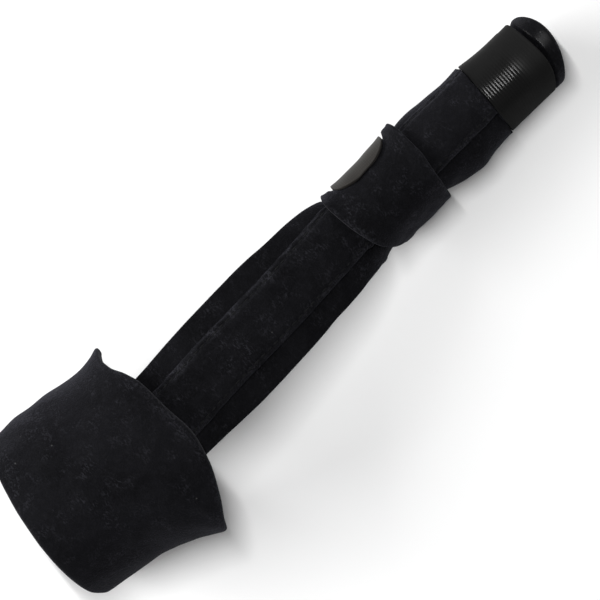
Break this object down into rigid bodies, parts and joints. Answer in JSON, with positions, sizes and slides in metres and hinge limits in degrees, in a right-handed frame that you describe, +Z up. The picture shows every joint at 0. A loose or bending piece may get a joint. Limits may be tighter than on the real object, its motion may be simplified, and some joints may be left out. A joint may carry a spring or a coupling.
{
  "type": "wrist and finger brace",
  "caption": "Soft wrist and finger brace: a wrist cuff and a stiffened padded strip that runs on into a finger sleeve, closed by a hook strap and a woven fingertip tape.",
  "frame": {"origin": "on the ground under the middle of the brace's box, with the brace lying on its back", "axes": "+X from the cuff to the fingertip, +Y to the left side, where the strap's tab closes, +Z up out of the brace's front"},
  "size_m": [0.207, 0.0662, 0.0435],
  "materials": {
    "cuff_velour": "black brushed velour on foam",
    "pad_velour": "black brushed velour on foam",
    "pocket_velour": "black brushed velour",
    "strap_velour": "black brushed velour on foam",
    "hook_tape": "smooth woven back, semi-gloss",
    "woven_tape": "fine ribbed weave, semi-gloss"
  },
  "bodies": {
    "root": {"wrist_cuff": "cuff_velour", "cuff_tab": "hook_tape", "splint_pad": "pad_velour", "stay_pocket": "pocket_velour", "finger_strap": "strap_velour", "finger_tab": "hook_tape", "tip_tape": "woven_tape"}
  },
  "joints": []
}
